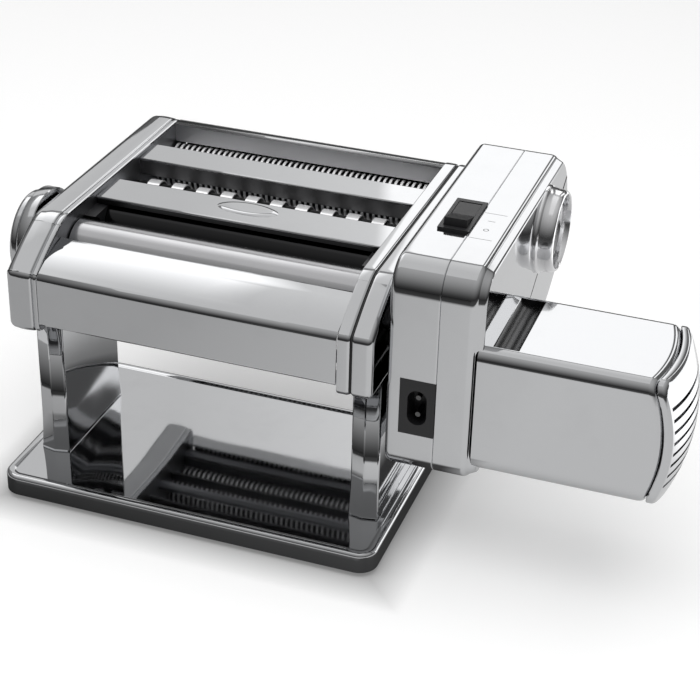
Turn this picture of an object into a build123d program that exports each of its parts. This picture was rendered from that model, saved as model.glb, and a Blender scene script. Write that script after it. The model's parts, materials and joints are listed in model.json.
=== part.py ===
from build123d import *
import os
from math import atan2, cos, hypot, pi, radians, sin, sqrt, tan

# Electric pasta machine: a sheet-metal roller machine on a pressed tray, with a motor unit on its right side.
# Millimetres. X runs along the rollers (motor at +X), Y to the back, Z up. The origin is the middle of the underside.

# ---------------------------------------------------------------- driving sizes
# base tray
base_length = 191.0
base_depth = 119.0
base_top = 12.0            # height of the flat top above the table
base_corner = 9.0
base_rim = 4.0             # width of the raised rim
base_rim_rise = 0.8
base_lift = 2.5            # clear space under the skirt
foot_radius = 7.0
foot_inset = 13.0

# body
sheet = 1.2                # pressed steel thickness
plate = 2.0                # side plates
body_width = 147.0         # clear width between the side plates
body_left = -75.0          # inner face of the left side plate
body_front = -48.0
body_depth = 172.0
body_floor = 88.0          # underside of the cheeks
apron_floor = 93.0
bend_height = 118.5        # crease between apron and hood
body_top = 134.5
crest_rise = 1.5           # the front of the top line stands a little higher
slope_depth = 28.0         # depth of the sloping front above the crease
corner_round = 4.0
back_round = 13.0
left_cheek_width = 17.5
right_cheek_width = 6.0
seal_width = 1.0
gear_cover_width = 9.5
cheek_edge = 5.0           # rounding of the left cheek's outer edge
cover_edge = 3.0
hood_inset = 2.5           # the hood lies this far below the cheeks' outline
hood_depth = 26.5

# top plates
plate_height = 132.0       # upper face of both plates
plate_flange = 10.5        # depth of the bent flanges in front of the cutters
front_plate_front = 20.0
front_plate_back = 39.5
rear_plate_front = 68.0
rear_plate_back = 85.0
back_panel_front = 109.0
pad_length = 31.0          # bare raised pad in the middle of the front plate
pad_depth = 13.0

# smooth rollers
roller_radius = 13.0
roller_height = 115.5      # height of both roller axes
front_roller_y = -4.9      # at the widest setting
gap_closed = 0.2
gap_travel = 2.4
roller_journal = 5.0
roller_teeth = 16

# cutters
cutter_radius = 8.5
cutter_height = 114.1
cutter_groove = 1.8        # depth of a groove
cutter_bite = 1.6          # how deep facing rings interleave
wide_front_y = 45.8
narrow_front_y = 92.6
wide_rings = 11            # on each wide cutter
narrow_rings = 48          # on each narrow cutter
ring_clearance = 0.12      # between facing rings, each side
wide_sides = 16            # the cutters are many-sided discs
narrow_sides = 10
cutter_journal = 4.0
cutter_teeth = 11
finger_clearance = 0.35

# running parts
running = 0.05             # radial clearance of a shaft in its bush
slide_gap = 0.1
bush_wall = 2.0
drive_flats = 6.4          # across the flats of the driven shafts' ends
gear_width = 4.4

# legs
leg_width = 14.0
leg_depth = 58.0
leg_front = -28.0
leg_crease = 1.6           # the front face comes to a shallow ridge
left_leg_x = -81.0
right_leg_x = 80.4
leg_flare = 2.0            # how far the foot spreads outside the leg
leg_flare_height = 18.0
leg_foot_front = 4.0

# thickness dial
dial_y = 2.0
dial_height = 112.5
dial_radius = 24.8         # of the skirt by the cheek
dial_grip = 22.3           # radius of the narrower grip
dial_skirt = 6.5
dial_depth = 11.4
dial_turn = 300.0          # degrees
dial_shaft = 4.0
cam_radius = 11.4          # at the widest setting
cam_width = 3.0
pin_radius = 2.5

# gearbox
case_gap = 3.5             # between gear cover and motor unit
case_width = 43.0
case_split = 23.3          # the two halves part here, from the case's left face
case_wall = 2.5
case_front = -38.0
case_top = 153.5
case_front_round = 14.5
case_bottom = 49.0
case_back_y = 81.2         # centre of the round back
case_back_z = 117.5
case_back_radius = 38.2
case_edge = 3.0

# motor barrel
barrel_length = 75.0
barrel_back = 22.0
barrel_floor = 55.0
barrel_top = 119.0
barrel_top_round = 6.0
barrel_bottom_round = 10.0
scoop_radius = 7.5         # finger groove across the top, between the two rounded edges
scoop_depth = 2.8
scoop_x = 9.1              # from the gearbox's right face
cap_length = 16.0
split_bulge = 6.5          # the parting with the cap bulges by this much
cap_round = 4.0
louvre_count = 8
louvre_top = 107.0
louvre_pitch = 5.6
louvre_height = 1.6
louvre_depth = 1.8
louvre_margin = 7.0        # from the barrel's front and back
motor_y = -8.0
motor_z = 87.0
motor_radius = 24.0
motor_length = 58.0
armature_radius = 15.0
shaft_radius = 2.5

# gear train in the motor unit
box_teeth = 14             # gears on the three driven shafts
idler_teeth = 17
small_teeth = 9
big_teeth = 40
pinion_teeth = 8
pinion_module = 1.4

# round boss on the gearbox
boss_y = 68.2
boss_z = 129.5
boss_radius = 21.5
boss_height = 9.0
boss_dish = 4.0            # floor of the dish above the gearbox's face
dish_radius = 17.7

# switch and inlet
switch_length = 32.3
switch_width = 14.5
switch_y = 17.8
rocker_length = 26.0
rocker_width = 10.6
rocker_tilt = 8.0          # degrees each way
inlet_width = 16.7
inlet_height = 28.5
inlet_z = 83.8
inlet_depth = 14.0
inlet_pin_pitch = 8.6

# ---------------------------------------------------------------- derived places
body_right = body_left + body_width
body_back = body_front + body_depth
left_face = body_left - left_cheek_width
seal_x = body_right + right_cheek_width
cover_x = seal_x + seal_width
cover_face = cover_x + gear_cover_width
case_x = cover_face + case_gap
split_x = case_x + case_split
case_face = case_x + case_width
barrel_end = case_face + barrel_length
closed_centres = 2 * roller_radius + gap_closed
open_centres = closed_centres + gap_travel
rear_roller_y = front_roller_y + open_centres
roller_module = closed_centres / roller_teeth
cutter_centres = 2 * cutter_radius - cutter_bite
strip_length = body_width - 1.0
cutter_module = cutter_centres / cutter_teeth
wide_rear_y = wide_front_y + cutter_centres
narrow_rear_y = narrow_front_y + cutter_centres
core_radius = cutter_radius - cutter_groove
gear_x = body_right + plate + 1.0
cutter_gear_x = gear_x + gear_width + 0.8     # clear of the roller gears

FRONT_ROLLER = (front_roller_y, roller_height)
REAR_ROLLER = (rear_roller_y, roller_height)
WIDE_FRONT = (wide_front_y, cutter_height)
WIDE_REAR = (wide_rear_y, cutter_height)
NARROW_FRONT = (narrow_front_y, cutter_height)
NARROW_REAR = (narrow_rear_y, cutter_height)
DIAL = (dial_y, dial_height)
MOTOR = (motor_y, motor_z)

box_module = hypot(wide_front_y - rear_roller_y, cutter_height - roller_height) / box_teeth


def meeting_point(a, b, reach_a, reach_b, side):
    """The point at the two given distances from a and b, on the left (+1) or right (-1) of the way from a to b."""
    span = hypot(b[0] - a[0], b[1] - a[1])
    along = (reach_a**2 - reach_b**2 + span**2) / (2 * span)
    off = sqrt(reach_a**2 - along**2) * side
    uy, uz = (b[0] - a[0]) / span, (b[1] - a[1]) / span
    return (a[0] + along * uy - off * uz, a[1] + along * uz + off * uy)


box_reach = box_module * (box_teeth + idler_teeth) / 2
IDLER = meeting_point(WIDE_FRONT, NARROW_FRONT, box_reach, box_reach, -1)
small_reach = box_module * (box_teeth + small_teeth) / 2
big_reach = pinion_module * (big_teeth + pinion_teeth) / 2
REDUCTION = meeting_point(MOTOR, REAR_ROLLER, big_reach, small_reach, -1)


# ---------------------------------------------------------------- helpers
def along_x(face, x0, x1):
    """Extrudes a face drawn in (Y, Z) from x0 to x1."""
    return extrude(Plane.YZ.offset(x0) * face, amount=x1 - x0)


def rod(x0, x1, centre, radius):
    return along_x(Pos(*centre) * Circle(radius), x0, x1)


def hexagon(x0, x1, centre, flats):
    return along_x(Pos(*centre) * RegularPolygon(flats / sqrt(3), 6), x0, x1)


def block(x0, x1, y0, y1, z0, z1):
    return Pos((x0 + x1) / 2, (y0 + y1) / 2, (z0 + z1) / 2) * Box(x1 - x0, y1 - y0, z1 - z0)


def ribbon(line, thickness, side=Side.RIGHT):
    """A strip of sheet whose one face follows the line, drawn in (Y, Z)."""
    return make_face(offset(line, amount=thickness, side=side).edges())


def gear_outline(teeth, module, phase, addendum, dedendum, centre):
    """Straight-flanked teeth; one tooth's middle lies at the angle phase."""
    pitch_radius = teeth * module / 2
    pitch = 2 * pi / teeth
    points = []
    for i in range(teeth):
        middle = phase + i * pitch
        for rise, sign in ((-dedendum, -1), (addendum, -1), (addendum, 1), (-dedendum, 1)):
            radius = pitch_radius + rise
            half = (0.20 * pitch * pitch_radius - rise * tan(radians(20))) / radius
            angle = middle + sign * half
            points.append((centre[0] + radius * cos(angle), centre[1] + radius * sin(angle)))
    return make_face(Polyline(*points, close=True))


def partner_phase(first, first_phase, first_teeth, second, second_teeth):
    """Phase of the second gear that puts its gap on the first gear's tooth along the line of centres."""
    angle = atan2(second[1] - first[1], second[0] - first[0])
    share = (angle - first_phase) * first_teeth / (2 * pi)
    return angle + pi - (0.5 - share) * 2 * pi / second_teeth


# ---------------------------------------------------------------- base and legs
def base_tray():
    skirt = extrude(Pos(0, 0, base_lift) * RectangleRounded(base_length, base_depth, base_corner),
                    amount=base_top + base_rim_rise - base_lift)
    skirt = fillet(skirt.edges().group_by(Axis.Z)[-1], base_rim / 2)
    dish = RectangleRounded(base_length - 2 * base_rim, base_depth - 2 * base_rim, base_corner - base_rim)
    skirt -= extrude(Pos(0, 0, base_top) * dish, amount=base_rim)
    hollow = RectangleRounded(base_length - 2 * sheet, base_depth - 2 * sheet, base_corner - sheet)
    return skirt - extrude(Pos(0, 0, base_lift) * hollow, amount=base_top - sheet - base_lift)


def rubber_feet():
    x, y = base_length / 2 - foot_inset, base_depth / 2 - foot_inset
    spots = [(sx * x, sy * y) for sx in (-1, 1) for sy in (-1, 1)]
    return Part() + [Pos(sx, sy, 0) * Cylinder(foot_radius, base_top - sheet, align=(Align.CENTER, Align.CENTER, Align.MIN))
                     for sx, sy in spots]


def leg_section(grow, forward):
    half = leg_width / 2 + grow
    back = leg_front + leg_depth + grow
    front = leg_front - forward
    return make_face(Polyline((-half, back), (half, back), (half, front), (0, front - leg_crease), (-half, front),
                              close=True))


def leg(x):
    """A folded steel post with a ridged front, spreading into its foot."""
    foot = Pos(x, 0, base_top) * leg_section(leg_flare, leg_foot_front)
    knee = Pos(x, 0, base_top + leg_flare_height) * leg_section(0, 0)
    post = loft([foot.face(), knee.face()], ruled=True)
    post += extrude(knee, amount=body_floor - base_top - leg_flare_height)
    inside = offset(leg_section(0, 0), amount=-sheet, kind=Kind.INTERSECTION)
    return post - extrude(Pos(x, 0, base_top + sheet) * inside, amount=body_floor - base_top - 2 * sheet)


# ---------------------------------------------------------------- body
def side_outline():
    front = Line((body_front, body_floor), (body_front, bend_height))
    knee = (body_front + slope_depth, body_top + crest_rise - 1.5)
    middle = (body_front + slope_depth / 2, (bend_height + knee[1]) / 2 + 0.8)
    slope = ThreePointArc(front @ 1, middle, knee)
    crest = TangentArc(slope @ 1, (knee[0] + 7, body_top + crest_rise), tangent=slope % 1)
    top = Line(crest @ 1, (body_back - back_round, body_top))
    round_back = ThreePointArc(top @ 1, (body_back - back_round * (1 - sin(pi / 4)),
                                         body_top - back_round * (1 - cos(pi / 4))),
                               (body_back, body_top - back_round))
    rear = Line(round_back @ 1, (body_back, body_floor))
    floor = Line(rear @ 1, front @ 0)
    outline = make_face([front, slope, crest, top, round_back, rear, floor])
    return fillet(outline.vertices().group_by(Axis.Y)[0], corner_round)


def inner_outline(inset):
    return offset(side_outline(), amount=-inset)


def left_cheek():
    shell = along_x(side_outline(), left_face, body_left)
    shell = fillet(shell.edges().group_by(Axis.X)[0], cheek_edge)
    cavity = along_x(inner_outline(sheet), left_face + sheet, body_left)
    shell -= fillet(cavity.edges().group_by(Axis.X)[0], cheek_edge - sheet)
    return shell - rod(left_face - 1, left_face + sheet + 1, DIAL, dial_shaft + running)


def right_cheek():
    return along_x(side_outline(), body_right, seal_x) - along_x(inner_outline(sheet), body_right, seal_x)


def cover_seal():
    return along_x(inner_outline(0.8), seal_x, cover_x) - along_x(inner_outline(sheet + 1.2), seal_x, cover_x)


def gear_cover():
    shell = along_x(side_outline(), cover_x, cover_face)
    shell = fillet(shell.edges().group_by(Axis.X)[-1], cover_edge)
    shell -= along_x(inner_outline(sheet), cover_x, cover_face - sheet)
    for centre in (REAR_ROLLER, WIDE_FRONT, NARROW_FRONT):
        shell -= rod(cover_face - 5, cover_face + 1, centre, hub_radius + 0.6)
    return shell


hub_radius = drive_flats / sqrt(3) + 2.2
roller_bush = roller_journal + running + bush_wall
cutter_bush = cutter_journal + running + bush_wall
carriage_height = 2 * roller_bush + 3
carriage_back = 8.0        # from the roller's axis


def bearing_slot(x0, x1, clearance):
    """The window in a side plate that lets the front roller's bearing slide."""
    y0 = front_roller_y - carriage_back - clearance
    y1 = front_roller_y + carriage_back + gap_travel + clearance
    half = carriage_height / 2 + clearance
    return block(x0, x1, y0, y1, roller_height - half, roller_height + half)


def side_plate(x):
    piece = along_x(inner_outline(sheet + 0.1), x, x + plate)
    piece -= bearing_slot(x - 1, x + plate + 1, slide_gap)
    piece -= rod(x - 1, x + plate + 1, REAR_ROLLER, roller_bush)
    for centre in (WIDE_FRONT, WIDE_REAR, NARROW_FRONT, NARROW_REAR):
        piece -= rod(x - 1, x + plate + 1, centre, cutter_bush)
    for centre in rod_places():
        piece -= rod(x - 1, x + plate + 1, centre, 3)
    return piece


def rod_places():
    """Tie rods low in the front, under the combs and at the back."""
    low = body_floor + 12
    return [(body_front + 14, low), (wide_front_y - 12, low), (narrow_front_y - 15.5, low), (body_back - 10, low)]


def tie_rods():
    rods = Part()
    for centre in rod_places():
        rods += rod(body_left - plate - 3, body_right + plate + 0.8, centre, 3)
    return rods


def rod_nuts():
    nuts = Part()
    for centre in rod_places():
        nuts += hexagon(body_left - plate - 3, body_left - plate, centre, 9) - rod(
            body_left - plate - 4, body_left, centre, 3)
    return nuts


def bushes(x, outward):
    """One plain bush for each fixed axis, flanged outside the plate."""
    ring = Part()
    x0, x1 = (x - 1.5, x + plate) if outward < 0 else (x, x + plate + 0.6)
    for centre, journal in ((REAR_ROLLER, roller_journal), (WIDE_FRONT, cutter_journal), (WIDE_REAR, cutter_journal),
                            (NARROW_FRONT, cutter_journal), (NARROW_REAR, cutter_journal)):
        ring += rod(x0, x1, centre, journal + running + bush_wall) - rod(x0, x1, centre, journal + running)
    return ring


def front_panel():
    """Apron and hood from one sheet: a bottom flange, the crease, the hood's curve and its turned-down lip."""
    lip_y, lip_z = body_front + hood_depth, plate_height - 5
    flange = Line((body_front + 12, apron_floor), (body_front, apron_floor))
    apron = Line(flange @ 1, (body_front, bend_height))
    hood = ThreePointArc(apron @ 1, (body_front + hood_depth * 0.45, bend_height + 5.2), (lip_y, lip_z))
    lip = Line(hood @ 1, (lip_y + 3, lip_z - 1.6))
    strip = ribbon(flange + apron + hood + lip, sheet)
    return along_x(strip, body_left, body_right)


def back_panel():
    top = body_top - 0.4
    flange = Line((back_panel_front, top - plate_flange), (back_panel_front, top))
    cover = Line(flange @ 1, (body_back - back_round, top))
    turn = ThreePointArc(cover @ 1, (body_back - back_round * (1 - sin(pi / 4)), top - back_round * (1 - cos(pi / 4))),
                         (body_back, top - back_round))
    rear = Line(turn @ 1, (body_back, apron_floor))
    tail = Line(rear @ 1, (body_back - 10, apron_floor))
    return along_x(ribbon(flange + cover + turn + rear + tail, sheet), body_left, body_right)


def top_plate(y0, y1, front_drop, back_drop):
    path = Polyline((y0, plate_height - front_drop), (y0, plate_height), (y1, plate_height),
                    (y1, plate_height - back_drop))
    return along_x(ribbon(path, sheet), body_left, body_right)


def front_plate():
    pad = Pos((body_left + body_right) / 2, (front_plate_front + front_plate_back) / 2, plate_height)
    piece = top_plate(front_plate_front, front_plate_back, 3, 3)
    return piece + extrude(pad * Ellipse(pad_length / 2, pad_depth / 2), amount=1.0)


def rear_plate():
    return top_plate(rear_plate_front, rear_plate_back, plate_flange, 3)


def side_guides():
    """Wedges that keep the dough off the side plates above the rollers."""
    pair = Part()
    for x in (body_left, body_right - 6):
        wedge = block(x, x + 6, front_roller_y, rear_roller_y - 3, roller_height + 3, plate_height - 4)
        for y, reach in ((front_roller_y, gap_travel), (rear_roller_y, 0)):
            wedge -= rod(x - 1, x + 7, (y, roller_height), roller_radius + 0.4)
            wedge -= rod(x - 1, x + 7, (y + reach, roller_height), roller_radius + 0.4)
        pair += wedge
    return pair


# ---------------------------------------------------------------- rollers and cutters
def roller(centre, driven):
    """A ground tube pressed onto a shaft with a plain journal at each end and a hexagonal tail."""
    x0, x1 = body_left + 0.4, body_right - 0.4
    tube = rod(x0, x1, centre, roller_radius) - rod(x0, x1, centre, roller_journal)
    shaft = rod(body_left - plate - 1.4, body_right + plate + 0.8, centre, roller_journal)
    end = hub_end if driven else gear_x + gear_width
    shaft += hexagon(body_right + plate + 0.8, end, centre, drive_flats)
    return Compound([tube.solid(), shaft.solid()])


hub_start = cover_face - 2.5
hub_end = case_x + 1.5


def cutter_shaft(centre, driven):
    shaft = rod(body_left - plate - 1.4, body_left, centre, cutter_journal)
    shaft += rod(body_right, body_right + plate + 0.8, centre, cutter_journal)
    end = hub_end if driven else cutter_gear_x + gear_width
    return shaft + hexagon(body_left, end, centre, drive_flats)


def disc_outline(centre, radius, sides):
    return Pos(*centre) * RegularPolygon(radius, sides)


def wide_cutter(centre, odd):
    """A core with evenly spaced square rings; the facing cutter's rings run in its grooves (odd)."""
    pitch = strip_length / (2 * wide_rings)
    reached, end = body_left + 0.5, body_right - 0.5
    bore = disc_outline(centre, drive_flats / sqrt(3), 6)
    core = disc_outline(centre, core_radius, wide_sides) - bore
    land = disc_outline(centre, cutter_radius, wide_sides) - bore
    slices = []
    for i in range(wide_rings):
        a = body_left + 0.5 + pitch * (2 * i + odd) + ring_clearance
        b = a + pitch - 2 * ring_clearance
        slices += [along_x(core, reached, a), along_x(land, a, b)]
        reached = b
    if end > reached + ring_clearance:
        slices.append(along_x(core, reached, end))
    return slices[0].fuse(*slices[1:])


def narrow_cutter(centre, odd):
    """Fine rings as one stack of tapering discs, crest in the facing cutter's groove (odd)."""
    pitch = strip_length / (2 * narrow_rings)
    x0 = body_left + 0.5
    sections = []
    for i in range(2 * narrow_rings + 1):
        radius = cutter_radius if i % 2 == odd else core_radius
        sections.append(Plane.YZ.offset(x0 + pitch * i) * disc_outline(centre, radius, narrow_sides))
    stack = loft([s.face() for s in sections], ruled=True)
    return stack - hexagon(x0, body_right - 0.5, centre, drive_flats)


def comb(centre, count, odd, side):
    """A steel strip whose fingers reach into the grooves and lift the cut strands out."""
    pitch = strip_length / (2 * count)
    y0 = centre[0] + (side - 1) / 2 * sheet + side * 0.6
    tip = centre[1] - core_radius - finger_clearance
    base = centre[1] - cutter_radius - 0.8
    strip = block(body_left, body_right, y0, y0 + sheet, base - 6, base)
    for i in range(count if count == wide_rings else 0):
        a = body_left + 0.5 + pitch * (2 * i + 1 - odd) + 2 * ring_clearance
        strip += block(a, a + pitch - 4 * ring_clearance, y0, y0 + sheet, base, tip)
    return strip


# ---------------------------------------------------------------- gears in the cover
def shaft_gear(outline, x, centre):
    return along_x(outline, x, x + gear_width) - hexagon(x, x + gear_width, centre, drive_flats)


def roller_gear(centre, phase):
    return shaft_gear(gear_outline(roller_teeth, roller_module, phase, 1.9, 2.15, centre), gear_x, centre)


def cutter_gear(centre, phase):
    outline = gear_outline(cutter_teeth, cutter_module, phase, 1.2, 1.45, centre)
    return shaft_gear(outline, cutter_gear_x, centre)


# ---------------------------------------------------------------- thickness dial and carriage
def carriage():
    """Sliding bearing blocks of the front roller; the left one carries the cam follower pin."""
    y0, y1 = front_roller_y - carriage_back, front_roller_y + carriage_back
    z0, z1 = roller_height - carriage_height / 2, roller_height + carriage_height / 2
    bore = roller_journal + running
    blocks = Part()
    for x0, x1 in ((arm_x, body_left), (body_right, body_right + plate + 0.6)):
        blocks += block(x0, x1, y0, y1, z0, z1) - rod(x0, x1, FRONT_ROLLER, bore)
    pin_y = dial_y - cam_radius - 0.2 - pin_radius
    blocks += block(arm_x, arm_x + arm_depth, pin_y - 4, y0, dial_height - 4, dial_height + 4)
    return blocks + rod(cam_x - 0.5, arm_x, (pin_y, dial_height), pin_radius)


arm_depth = 2.8
arm_x = body_left - plate - arm_depth - 0.2
cam_x = arm_x - 0.4 - cam_width


def dial_cam():
    """A spiral whose radius falls evenly with the turn, so the carriage moves evenly with the dial."""
    steps = 20
    points = []
    for i in range(steps + 1):
        share = i / steps
        angle = radians(180 - dial_turn * share)
        radius = cam_radius - gap_travel * share
        points.append((dial_y + radius * cos(angle), dial_height + radius * sin(angle)))
    face = make_face(Polyline(*points, close=True))
    return along_x(face, cam_x, cam_x + cam_width)


def dial_spindle():
    return rod(left_face - 6, cam_x, DIAL, dial_shaft) + dial_cam()


def thickness_dial():
    """Round knob: a wide skirt by the cheek, a groove and a narrower grip."""
    x1 = left_face - 0.4
    skirt = rod(x1 - dial_skirt, x1, DIAL, dial_radius)
    skirt = fillet(skirt.edges().group_by(Axis.X)[0], 1.2)
    grip = rod(x1 - dial_depth, x1 - dial_skirt - 1.2, DIAL, dial_grip)
    grip = fillet(grip.edges().group_by(Axis.X)[0], 1.8)
    knob = skirt + grip + rod(x1 - dial_skirt - 1.2, x1 - dial_skirt, DIAL, dial_grip - 1.5)
    return knob - rod(left_face - 6, x1 + 1, DIAL, dial_shaft)


# ---------------------------------------------------------------- motor unit
def case_outline():
    """Side view of the gearbox: flat front, flat top, round back and a slanting underside."""
    top = Line((case_front, case_top), (case_back_y + 13, case_top))
    end = (case_back_y + 7, case_back_z - sqrt(case_back_radius**2 - 7**2))
    back = ThreePointArc(top @ 1, (case_back_y + case_back_radius, case_back_z), end)
    under = Line(back @ 1, (22, case_bottom))
    floor = Line(under @ 1, (case_front, case_bottom))
    front = Line(floor @ 1, top @ 0)
    outline = make_face([top, back, under, floor, front])
    by_place = outline.vertices()
    outline = fillet(by_place.filter_by(lambda v: v.X < case_front + 1 and v.Y > case_top - 1), case_front_round)
    outline = fillet(outline.vertices().filter_by(lambda v: v.X < case_front + 1 and v.Y < case_bottom + 1), 9)
    outline = fillet(outline.vertices().filter_by(lambda v: 20 < v.X < 24 and v.Y < case_bottom + 1), 14)
    return fillet(outline.vertices().filter_by(lambda v: v.X > 90 and v.Y > case_top - 1), 8)


def case_cavity(x0, x1):
    return along_x(offset(case_outline(), amount=-case_wall), x0, x1)


def barrel_outline(inset=0.0):
    outline = Pos((case_front + barrel_back) / 2, (barrel_floor + barrel_top) / 2) * Rectangle(
        barrel_back - case_front, barrel_top - barrel_floor)
    outline = fillet(outline.vertices().group_by(Axis.Y)[-1], barrel_top_round)
    outline = fillet(outline.vertices().group_by(Axis.Y)[0], barrel_bottom_round)
    return offset(outline, amount=-inset) if inset else outline


def dome(tip, plan_radius, side_radius):
    """A turned cask whose side bulges to x = tip: round in plan and round in side view."""
    reach = 0.75 * (barrel_top - barrel_floor)
    end_radius = plan_radius - side_radius + sqrt(side_radius**2 - reach**2)
    stave = ThreePointArc((end_radius, -reach), (plan_radius, 0), (end_radius, reach))
    axis = Polyline((end_radius, reach), (0, reach), (0, -reach), (end_radius, -reach))
    cask = revolve(Plane.XZ * make_face([stave, axis]), Axis.Z)
    return Pos(tip - plan_radius, motor_y, motor_z) * cask


cap_split = dict(plan_radius=98.0, side_radius=76.0)
cap_outside = dict(plan_radius=66.0, side_radius=80.0)


def case_inner():
    """Left half of the gearbox, against the machine."""
    shell = along_x(case_outline(), case_x, split_x)
    shell = fillet(shell.edges().group_by(Axis.X)[0], case_edge)
    shell -= case_cavity(case_x + case_wall, split_x)
    for centre in (REAR_ROLLER, WIDE_FRONT, NARROW_FRONT):
        shell -= rod(case_x - 1, case_x + case_wall + 1, centre, hub_radius + running)
    for centre in (IDLER, REDUCTION):
        shell += rod(case_x + case_wall, box_x - 0.5, centre, 5)
        shell -= rod(case_x + 1.5, box_x, centre, shaft_radius)
    shell -= block(switch_x0 + 1, split_x + 1, switch_y - switch_length / 2 + 1, switch_y + switch_length / 2 - 1,
                   case_top - case_wall - 1, case_top + 1)
    return shell - block(split_x - inlet_width, split_x + 1, case_front - 1, case_front + case_wall + 1,
                         inlet_z - inlet_height / 2, inlet_z + inlet_height / 2)


box_x = case_x + case_wall + 2.5      # gears on the driven shafts start here
box_end = box_x + 6.0
big_x = case_face - case_wall - 8.0
switch_x0 = split_x - switch_width


def case_outer():
    """Right half of the gearbox with the motor barrel in one moulding."""
    shell = along_x(case_outline(), split_x, case_face)
    shell = chamfer(shell.edges().group_by(Axis.X)[-1], case_edge)
    barrel = along_x(barrel_outline(), case_face - case_edge, barrel_end + 20) & dome(barrel_end + split_bulge, **cap_split)
    shell += barrel
    scoop_length = barrel_back - case_front - 2 * barrel_top_round
    scoop = Cylinder(scoop_radius, scoop_length, rotation=(90, 0, 0))
    shell -= Pos(case_face + scoop_x, motor_y, barrel_top + scoop_radius - scoop_depth) * scoop
    shell -= case_cavity(split_x, case_face - case_wall)
    hollow = along_x(barrel_outline(case_wall), case_face - case_wall - 1, barrel_end - 2)
    hollow -= block(case_face - 10, case_face + 14, case_front, barrel_back, barrel_top - 7.5, barrel_top)
    shell -= hollow
    shell += rod(big_x + 5.5, case_face - case_wall, REDUCTION, 5)
    shell -= rod(big_x + 5, case_face - case_wall, REDUCTION, shaft_radius)
    return shell.solids().sort_by(SortBy.VOLUME)[-1]


def motor_end_cap():
    """The rounded end of the barrel, with horizontal cooling louvres cut across it."""
    tip = barrel_end + cap_length
    cap = along_x(barrel_outline(), barrel_end - 8, tip + 5) & dome(tip, **cap_outside)
    cap = fillet(cap.edges().group_by(Axis.X)[-1], cap_round)
    cap -= dome(barrel_end + split_bulge + 0.3, cap_split["plan_radius"] + 0.3, cap_split["side_radius"] + 0.3)
    rind = dome(tip + 1, **cap_outside) - dome(tip - louvre_depth, **cap_outside)
    for i in range(louvre_count):
        z = louvre_top - louvre_pitch * i
        slot = block(barrel_end, tip + 5, case_front + louvre_margin, barrel_back - louvre_margin,
                     z - louvre_height / 2, z + louvre_height / 2)
        cap -= slot & rind
    return cap.solids().sort_by(SortBy.VOLUME)[-1]


def boss_cover():
    """Round bearing cover on the gearbox's right face, stepped and dished."""
    profile = Polyline((0, 0), (0, boss_radius), (1.2, boss_radius), (1.8, boss_radius - 0.8),
                       (boss_height - 2, boss_radius - 1.6), (boss_height, boss_radius - 3),
                       (boss_height, dish_radius + 0.4), (boss_dish, dish_radius), (boss_dish, 0), close=True)
    turned = revolve(make_face(profile), Axis.X)
    return Pos(case_face, boss_y, boss_z) * turned


def box_gear(centre, teeth, phase, x0, x1):
    return along_x(gear_outline(teeth, box_module, phase, 1.35, 1.7, centre), x0, x1)


def output_gear(centre, phase):
    """A moulded gear with a long hub that takes the hexagonal end of a driven shaft."""
    piece = box_gear(centre, box_teeth, phase, box_x, box_end)
    piece += rod(hub_start, box_x, centre, hub_radius)
    return piece - hexagon(hub_start, hub_end + 0.5, centre, drive_flats + 0.1)


def idler_gear(phase):
    piece = box_gear(IDLER, idler_teeth, phase, box_x, box_end)
    return piece - rod(box_x, box_end, IDLER, shaft_radius + running)


def idler_pin():
    return rod(case_x + 1.5, box_end + 1.5, IDLER, shaft_radius)


def reduction_gear(small_phase, big_phase):
    """Compound gear: a small wheel on the roller's gear and a big one on the motor's pinion."""
    piece = box_gear(REDUCTION, small_teeth, small_phase, box_x, box_end)
    piece += rod(box_end, big_x, REDUCTION, 4.5)
    piece += along_x(gear_outline(big_teeth, pinion_module, big_phase, 1.0, 1.25, REDUCTION), big_x, big_x + 5)
    return piece - rod(box_x, big_x + 5, REDUCTION, shaft_radius + running)


def reduction_pin():
    return rod(case_x + 1.5, case_face - case_wall, REDUCTION, shaft_radius)


def motor_pinion(phase):
    outline = gear_outline(pinion_teeth, pinion_module, phase, 1.0, 1.25, MOTOR)
    return along_x(outline, big_x - 0.5, big_x + 5.5) - rod(big_x - 1, big_x + 6, MOTOR, shaft_radius)


motor_x = case_face + 6.0


def armature():
    piece = rod(big_x - 0.5, motor_x + motor_length + 6, MOTOR, shaft_radius)
    piece += rod(motor_x + 10, motor_x + 38, MOTOR, armature_radius)
    return piece + rod(motor_x + 41, motor_x + 50, MOTOR, 8)


def motor_can():
    can = rod(motor_x, motor_x + motor_length, MOTOR, motor_radius)
    can -= rod(motor_x + 1.5, motor_x + motor_length - 1.5, MOTOR, motor_radius - 4)
    return can - rod(motor_x - 1, motor_x + motor_length + 1, MOTOR, shaft_radius + running)


def motor_bracket():
    wall = along_x(barrel_outline(case_wall), motor_x - 2, motor_x)
    wall &= block(motor_x - 2, motor_x, case_front, barrel_back, barrel_floor, barrel_top - 7.5)
    return wall - rod(motor_x - 3, motor_x + 1, MOTOR, 6)


def cooling_fan():
    x = motor_x + motor_length + 2
    return rod(x, x + 3.5, MOTOR, 19) - rod(x, x + 3.5, MOTOR, shaft_radius)


def mounting_plate():
    """Steel plate between the machine and the motor unit, with a window for each driven shaft."""
    outline = Pos(43, 116) * RectangleRounded(118, 22, 8)
    piece = along_x(outline, cover_face, case_x)
    for centre in (REAR_ROLLER, WIDE_FRONT, NARROW_FRONT):
        piece -= rod(cover_face - 1, case_x + 1, centre, hub_radius + 0.6)
    return piece


pivot_z = case_top - 0.6


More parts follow.
